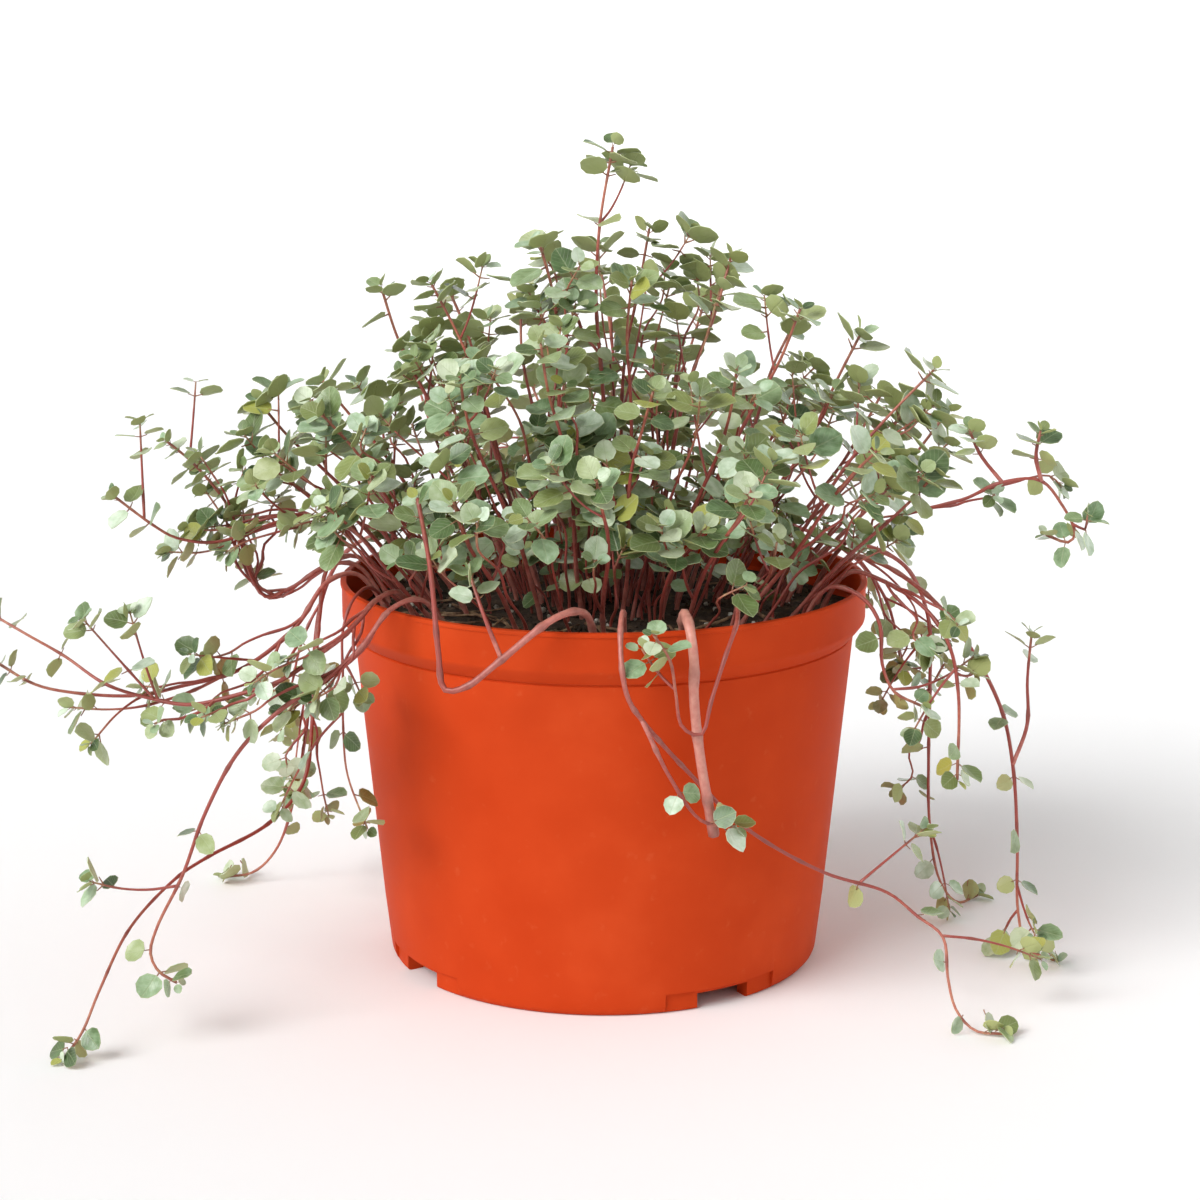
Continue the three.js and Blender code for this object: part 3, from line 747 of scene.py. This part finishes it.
# Where the leaves start along the stems that differ, and the shoots that carry more branches
leafyFrom = dict(
    front_hook_shoot=0.93, front_curl_shoot=0.8, front_long_shoot=0.62, left_long_shoot=0.6,
    left_front_shoot=0.7, left_side_shoot=0.93, right_long_shoot=0.5, right_side_shoot=0.4,
    right_arch_shoot=0.8, right_front_shoot=0.4, left_arch_shoot=0.5, left_upturned_shoot=0.45,
)
extraBranches = dict(
    left_arch_shoot=7, left_upturned_shoot=7, left_long_shoot=6, left_low_shoot=5, left_front_shoot=3,
    left_side_shoot=1, crown_shoot_11=4, crown_shoot_15=3, crown_shoot_29=3, crown_shoot_6=1,
    right_arch_shoot=4, right_front_shoot=2, right_side_shoot=1, back_arch_shoot=4, crown_shoot_23=2,
    back_left_shoot=3, back_right_shoot=4, left_back_shoot=2, crown_shoot_13=2, crown_shoot_9=1,
)


def headingAt(line, i):
    return (line[min(i + 1, len(line) - 1)] - line[max(i - 1, 0)]).normalized()


def squareTo(heading, turn):  # a direction square to the stem
    side = Vector((1, 0, 0)) if abs(heading.z) > 0.9 else up
    across = heading.cross(side).normalized()
    return Matrix.Rotation(turn, 3, heading) @ across


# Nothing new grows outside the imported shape, into the surface below or into the pot
def keepInside(place, radius):
    low, high = (Vector(corner) for corner in cadBounds)
    edge = stemLook["edge"] * mm
    place.x = min(max(place.x, low.x + edge), high.x - edge)
    place.y = min(max(place.y, low.y + edge), high.y - edge)
    place.z = min(max(place.z, radius + 0.6 * mm), high.z - edge)
    outward = (place - potAxis).to_2d()
    if place.z < soilTop - 12 * mm and outward.length < rimRadius + 2 * mm:
        outward = outward.normalized() * (rimRadius + 2 * mm)
        place.x, place.y = potAxis.x + outward.x, potAxis.y + outward.y
    return place


def makeRun(line, radius, leafStart, chance, spacing=1.0, leafSize=1.0):
    marks = [0.0]
    for a, b in zip(line, line[1:]):
        marks.append(marks[-1] + (b - a).length)
    length = marks[-1]
    knots, at = [], length
    while at > stemLook["lowestKnot"] * mm:
        left = (length - at) / mm
        knots.append(at)
        leafy = at > leafStart * length
        if leafy and left < leafLook["rosette"]:
            gap = (leafLook["tipGap"] + left * leafLook["tipGapGrowth"]) * spacing
        else:
            gap = leafLook["spacing"] * spacing if leafy else stemLook["bareSpacing"]
        at -= gap * mm * chance.uniform(*stemLook["spacingSpread"])
    return dict(
        line=line, marks=marks, length=length, radius=radius, leafStart=leafStart, leafSize=leafSize,
        knots=knots, bare=False)


def placeOn(run, at):
    marks, line = run["marks"], run["line"]
    i = 0
    while i < len(marks) - 2 and marks[i + 1] < at:
        i += 1
    share = (at - marks[i]) / (marks[i + 1] - marks[i])
    return line[i].lerp(line[i + 1], share), headingAt(line, i)


# A stem that rises beside its parent, from the parent itself or from its own root near by
def besideRun(parent, start, length, near, out, radius, chance):
    away = squareTo(placeOn(parent, start)[1], chance.uniform(0, 2 * math.pi))
    away.z *= 0.3
    places = []
    for i in range(stemLook["bends"]):
        share = i / (stemLook["bends"] - 1)
        at = start + length * share
        place, heading = placeOn(parent, min(at, parent["length"]))
        place += heading * max(0, at - parent["length"])
        wave = Vector()
        if i:
            wave = Vector((chance.gauss(0, 1), chance.gauss(0, 1), 0)) * mm
            wave *= stemLook["bendWave"] * share + 0.2
        place += away * (near + (out - near) * share ** 0.75) + wave
        places.append(keepInside(place, radius))
    return smoothLine(places, stemLook["step"] * mm)


# A short twig that leaves sideways and turns up towards the light
def sprigRun(parent, start, length, radius, chance, lift):
    root, heading = placeOn(parent, start)
    side = squareTo(heading, chance.uniform(0, 2 * math.pi))
    if side.z < -0.3:
        side = -side
    aim = (side + heading * 0.75).normalized()
    places = []
    for i in range(4):
        share = i / 3
        place = root + aim * length * share + up * length * lift * share ** 2
        places.append(keepInside(place, radius))
    return smoothLine(places, stemLook["step"] * mm)


def branches(main, count, chance):
    look, made = stemLook, []
    for _ in range(count):
        start = main["length"] * chance.uniform(*look["branchStart"])
        length = min(chance.uniform(*look["branchLength"]) * mm, (main["length"] - start) * 0.9)
        radius = look["branchRadius"] * mm
        out = chance.uniform(*look["branchOut"]) * mm
        side = besideRun(main, start, length, 0, out, radius, chance)
        made.append(makeRun(side, radius, 0.5, chance, leafSize=main["leafSize"]))
    return made


def crownRuns(name, tip, index):
    look, chance = stemLook, Random(stemLook["seed"] * 100 + index)
    line = smoothLine(crownRoute(tip, index), look["step"] * mm)
    main = makeRun(line, routeLook["stem"] * look["slim"] * mm, 0.74, chance)
    runs = [main]
    for _ in range(look["siblings"]):
        length = main["length"] * chance.uniform(*look["siblingLength"])
        radius = look["siblingRadius"] * mm * chance.uniform(*look["siblingSpread"])
        near, out = (chance.uniform(*look[key]) * mm for key in ("siblingNear", "siblingOut"))
        side = besideRun(main, look["rootUp"] * mm, length, near, out, radius, chance)
        runs.append(makeRun(side, radius, 0.82, chance))
    runs += branches(main, look["branches"] + extraBranches.get(name, 0), chance)
    for _ in range(look["young"] if line[0].y > potAxis.y - leafLook["frontDepth"] * mm else 0):
        length = chance.uniform(*look["youngLength"]) * mm
        near, out = (chance.uniform(*look[key]) * mm for key in ("siblingNear", "siblingOut"))
        radius = look["sprigRadius"] * mm
        side = besideRun(main, look["rootUp"] * mm, length, near, out, radius, chance)
        runs.append(makeRun(side, radius, 0.35, chance, 0.6, 0.8))
    for run in runs[:2]:
        runs += sprigs(run, look["sprigs"], chance)
    return runs


def sprigs(run, count, chance):
    look, made = stemLook, []
    for _ in range(count):
        start = run["length"] * chance.uniform(run["leafStart"] * 0.8, 0.85)
        length = min(chance.uniform(*look["sprigLength"]) * mm, run["length"] - start)
        radius = look["sprigRadius"] * mm
        line = sprigRun(run, start, length, radius, chance, look["sprigLift"])
        made.append(makeRun(line, radius, 0.3, chance, 0.8))
    return made


def outerRuns(shoot, index):
    look, chance = stemLook, Random(stemLook["seed"] * 200 + index)
    radius = shoot["radius"] * mm
    root = spot((shoot["bearing"], -routeLook["ring"], 1), radius)
    route = [spot(place, radius) for place in shoot["route"]]
    line = smoothLine(planted(root, route), look["step"] * mm)
    bare = shoot.get("leaves") == 0
    shown = radius if bare else radius * look["slim"]
    main = makeRun(line, shown, leafyFrom.get(shoot["name"], 0.45), chance, 1.25, 0.78)
    main["bare"] = bare
    runs = [main]
    for twig in shoot.get("twigs", []):
        fine = routeLook["fine"] * mm
        places = [spot(place, fine) for place in twig]
        places[0] = min(main["line"], key=lambda place: (place - places[0]).length)
        runs.append(makeRun(smoothLine(places, look["step"] * mm), fine, 0.4, chance, 1.0, 0.84))
    if main["bare"]:
        return runs
    for _ in range(round((1 - main["leafStart"]) * main["length"] / mm / look["trailEvery"])):
        start = main["length"] * chance.uniform(main["leafStart"], 0.92)
        length = chance.uniform(*look["trailLength"]) * mm
        fine = look["trailRadius"] * mm
        lift = chance.uniform(*look["trailLift"])
        side = sprigRun(main, start, length, fine, chance, lift)
        runs.append(makeRun(side, fine, 0.3, chance, 1.0, 0.8))
    return runs + branches(main, extraBranches.get(shoot["name"], 0), chance)


def stemRadius(run, i):
    at, length = run["marks"][i], run["length"]
    taper = 1 if run["bare"] else 1 - stemLook["taper"] * (at / length) ** 1.3
    near = min((abs(at - knot) for knot in run["knots"]), default=1)
    swell = stemLook["knot"] * math.exp(-((near / (stemLook["knotLong"] * mm)) ** 2))
    return run["radius"] * taper * (1 + swell * (1 - 0.6 * at / length)), swell / stemLook["knot"]


def makeStems(name, runs):
    curve = tubeCurve(name)
    rings = []
    for run in runs:
        spline = curve.splines.new("POLY")
        spline.points.add(len(run["line"]) - 1)
        for i, point in enumerate(spline.points):
            radius, swell = stemRadius(run, i)
            point.co = (*run["line"][i], 1)
            point.radius = radius
            thin = 1 - min(radius / (routeLook["stem"] * mm), 1)
            along = run["marks"][i] / run["length"]
            rings.append((0.12 * along if run["bare"] else min(along * 0.6 + thin * 0.6, 1), swell))
    young, knot = zip(*rings)
    return tubesToMesh(name, curve, {"young": young, "knot": knot})


leafLook = dict(
    length=8.3, width=8.1, sides=10, thickness=0.2, kinds=8, seed=5,
    cup=(-0.1, 0.9), crease=(0.1, 0.6), curl=(0.2, 1.3), ovate=(0.0, 0.22), wave=0.18, border=0.16,
    stalk=1.9, stalkRadius=0.24, spacing=14, rosette=6, tipGap=1.5, tipGapGrowth=0.6,
    tipSize=0.5, tipGrowth=0.16, sizeSpread=(0.82, 1.12), pairSpread=(0.92, 1.08),
    lift=(-5, 35), tipLift=26, tipLiftFall=4, droop=0.3, missing=0.32, tipMissing=0.02,
    lime=0.06, stray=0.36, outward=0.7, middle=5, bareHeight=21, frontDepth=22, crownRoom=14,
    rimRoom=(-6, 3), soilRoom=4, rimClear=2, floorClear=0.4,
)


def leafShape(look, kind):
    chance = Random(look["seed"] * 10 + kind)
    cup, crease, curl, ovate = (chance.uniform(*look[key]) for key in ("cup", "crease", "curl", "ovate"))
    bm = bmesh.new()
    bmesh.ops.create_circle(bm, cap_ends=True, segments=look["sides"], radius=0.5)
    bmesh.ops.inset_region(bm, faces=bm.faces[:], thickness=look["border"], use_even_offset=True)
    middle = max(bm.faces, key=lambda face: len(face.verts))
    bmesh.ops.poke(bm, faces=[middle])
    top = bm.faces[:]
    thick = look["thickness"] / look["length"]
    bmesh.ops.solidify(bm, geom=top, thickness=thick)
    bmesh.ops.recalc_face_normals(bm, faces=bm.faces)
    under = bm.verts.layers.float.new("under")
    stalk = bm.verts.layers.float.new("stalk")
    bm.verts.layers.float.new("tint")
    leafMap = bm.loops.layers.uv.new("leafMap")
    highest = max(vert.co.z for vert in bm.verts)
    for face in bm.faces:
        face.smooth = True
        for loop in face.loops:
            loop[leafMap].uv = (loop.vert.co.x + 0.5, loop.vert.co.y + 0.5)
    for edge in bm.edges:
        edge.smooth = edge.calc_face_angle(0) < 1
    phase = chance.uniform(0, 6.28)
    for vert in bm.verts:
        x, y = vert.co.x, vert.co.y
        vert[under] = 1 if vert.co.z < highest - thick / 2 else 0
        reach = math.hypot(x, y) * 2
        z = cup * reach ** 2 + crease * abs(x) * 2 - curl * max(y, 0) ** 2 * 4
        z += look["wave"] * reach ** 3 * math.sin(3 * math.atan2(x, y) + phase)
        wide = 1 - ovate * y * 2 - 0.12 * max(y * 2, 0) ** 3
        vert.co = Vector((
            x * look["width"] * wide,
            (y + 0.5) * look["length"] + look["stalk"],
            (vert.co.z - highest) * look["length"] + z,
        )) * mm
    lay = Matrix.Rotation(math.radians(-90), 4, "X")
    long = look["stalk"] + 1
    shift = Matrix.Translation((0, long / 2 * mm, -0.5 * look["thickness"] * mm))
    made = bmesh.ops.create_cone(
        bm, cap_ends=True, segments=3, radius1=look["stalkRadius"] * 1.3 * mm,
        radius2=look["stalkRadius"] * 0.8 * mm, depth=long * mm, matrix=shift @ lay)
    for vert in made["verts"]:
        vert[stalk] = 1
        for face in vert.link_faces:
            face.smooth = True
            for loop in face.loops:
                loop[leafMap].uv = (0.5, 0.02)
    return toMesh(bm, "leafShape")


def leafPlaces(run, chance):
    look, places = leafLook, []
    if run["bare"]:
        return places
    turn = chance.uniform(0, math.pi)
    for i, at in enumerate(run["knots"]):
        if at < run["leafStart"] * run["length"] and i > 1:
            break
        place, heading = placeOn(run, at)
        turn += math.pi / 2 + chance.gauss(0, 0.12)
        left = (run["length"] - at) / mm
        size = run["leafSize"] * min(look["tipSize"] + look["tipGrowth"] * left, 1)
        size *= chance.uniform(*look["sizeSpread"])
        raised = max(0, look["tipLift"] - left * look["tipLiftFall"])
        lift = math.radians(chance.uniform(*look["lift"]) + raised)
        missing = look["missing"] if left > look["rosette"] else look["tipMissing"]
        for half in (0, math.pi):
            if chance.random() < missing:
                continue
            square = squareTo(heading, turn + half)
            droop = up * look["droop"] * chance.random()
            reach = square * math.cos(lift) + heading * math.sin(lift) - droop
            places.append((place, heading, reach.normalized(), size * chance.uniform(*look["pairSpread"])))
    return places


def makeLeaves(name, runs, shapes, chance):
    look = leafLook
    low, high = (limit * mm for limit in look["rimRoom"])
    bm = bmesh.new()
    count = 0
    wide = look["crownRoom"] * mm if name.startswith("crown") else high
    for run in runs:
        for place, heading, reach, size in leafPlaces(run, chance):
            centre = place + reach * look["middle"] * mm
            outward = (centre - potAxis).to_2d()
            inside = outward.length < rimRadius + low
            lowest = soilTop + look["soilRoom"] * mm if inside else potHeight + look["rimClear"] * mm
            tooLow = outward.length < rimRadius + high and centre.z < lowest
            bare = (centre.z - potHeight) / (look["bareHeight"] * mm)
            atFront = centre.y < potAxis.y - look["frontDepth"] * mm
            shaded = atFront and outward.length < rimRadius + wide and bare < chance.random()
            if tooLow or shaded:
                continue
            aside = Vector((chance.gauss(0, 1), chance.gauss(0, 1), chance.gauss(0, 0.5))) * look["stray"]
            sky = up + heading * 0.35 + aside + (outward.normalized() * look["outward"]).to_3d()
            across = reach.cross(sky).normalized()
            face = across.cross(reach)
            turned = Matrix((across, reach, face)).transposed().to_4x4()
            start = len(bm.verts)
            bm.from_mesh(chance.choice(shapes))
            bm.verts.ensure_lookup_table()
            new = bm.verts[start:]
            matrix = Matrix.Translation(place) @ turned @ Matrix.Scale(size, 4)
            bmesh.ops.transform(bm, matrix=matrix, verts=new)
            sunk = look["floorClear"] * mm - min(vert.co.z for vert in new)
            if sunk > 0:
                bmesh.ops.translate(bm, verts=new, vec=(0, 0, sunk))
            tint = bm.verts.layers.float["tint"]
            shade = 1 if chance.random() < look["lime"] else chance.uniform(0, 0.8)
            for vert in new:
                vert[tint] = shade
            count += 1
    return toMesh(bm, name), count


def stemFinish():
    look = Look("redStems", Roughness=0.45, **{"Coat Weight": 0.2, "Coat Roughness": 0.3})
    young = look.attribute("young")
    knot = look.attribute("knot")
    grain = look.noise(700, 4)
    age = young + (grain - 0.5) * 0.35
    colour = look.node("ShaderNodeValToRGB", {"stops": [
        (0.0, (0.68, 0.31, 0.24)), (0.16, (0.56, 0.19, 0.15)), (0.4, (0.34, 0.065, 0.048)),
        (0.72, (0.33, 0.055, 0.04)), (0.92, (0.48, 0.17, 0.1)), (1.0, (0.54, 0.35, 0.17))]}, {0: age})
    colour = look.blend(knot * 0.5, colour, (0.16, 0.045, 0.035))
    look.feed("Base Color", colour)
    look.feed("Roughness", 0.36 + grain * 0.2)
    look.bump(look.noise(1500, 3) + knot * 0.4, 0.25, 0.3 * mm)
    return look.material


def leafFinish():
    look = Look("silverLeaf", **{"Coat Weight": 0.25, "Coat Roughness": 0.2})
    tint = look.attribute("tint")
    under = look.attribute("under")
    stalk = look.attribute("stalk")
    spread = look.node("ShaderNodeUVMap", {"uv_map": "leafMap"})
    apart = look.node("ShaderNodeSeparateXYZ", None, {0: spread})
    across = look.node("ShaderNodeMath", {"operation": "ABSOLUTE"}, {0: apart - 0.5})
    along = look.node("ShaderNodeSeparateXYZ", None, {0: spread}, 1)
    out2 = across * across + (along - 0.5) * (along - 0.5)
    edge = look.between(out2, 0.19, 0.25)
    midrib = 1 - look.between(across, 0.006, 0.035)
    ribs = look.node("ShaderNodeMath", {"operation": "PINGPONG"}, {0: along - across * 0.9, 1: 0.085})
    veins = (1 - look.between(ribs, 0.0, 0.022)) * (1 - edge)
    mottle = look.noise(420, 4)
    blotch = look.noise(150, 3)
    tone = tint * 0.66 + mottle * 0.35 + blotch * 0.35 - 0.145
    warm = look.node("ShaderNodeMath", {"operation": "FRACT"}, {0: tint * 7.3})
    colour = look.node("ShaderNodeValToRGB", {"stops": [
        (0.1, (0.03, 0.058, 0.014)), (0.33, (0.1, 0.18, 0.062)), (0.54, (0.32, 0.46, 0.27)),
        (0.75, (0.72, 0.83, 0.69))]}, {0: tone})
    colour = look.blend(warm * warm * 0.65, colour, (0.36, 0.37, 0.1))
    colour = look.blend(look.between(tint, 0.88, 0.95), colour, (0.4, 0.42, 0.09))
    colour = look.blend(edge * 0.4, colour, (0.55, 0.6, 0.36))
    colour = look.blend(midrib * 0.3 + veins * 0.14, colour, (0.5, 0.56, 0.33))
    colour = look.blend(under * 0.85, colour, (0.42, 0.46, 0.18))
    colour = look.blend(stalk, colour, (0.34, 0.15, 0.08))
    look.feed("Base Color", colour)
    look.feed("Roughness", 0.28 + mottle * 0.22 + under * 0.25)
    look.bump(mottle * 0.7 - midrib * 0.8 - veins * 0.4, 0.45, 0.3 * mm)
    return look.material


stemMaterial = stemFinish()
leafMaterial = leafFinish()
leafShapes = [leafShape(leafLook, kind) for kind in range(leafLook["kinds"])]
shoots = [(shoot["name"], outerRuns(shoot, i)) for i, shoot in enumerate(outerShoots)]
for i, tip in enumerate(crownTips):
    name = "crown_shoot_%d" % (i + 1)
    shoots.append((name, crownRuns(name, tip, i)))
leafCount = 0
for i, (name, runs) in enumerate(shoots):
    addPiece(name + "_stems", makeStems(name, runs), stemMaterial, "stems", name)
    leaves, count = makeLeaves(name, runs, leafShapes, Random(leafLook["seed"] * 1000 + i))
    leafCount += count
    if count:
        addPiece(name + "_leaves", leaves, leafMaterial, "leaves")
print("shoots made:", len(shoots), "with", leafCount, "leaves")

for shape in leafShapes:
    bpy.data.meshes.remove(shape)
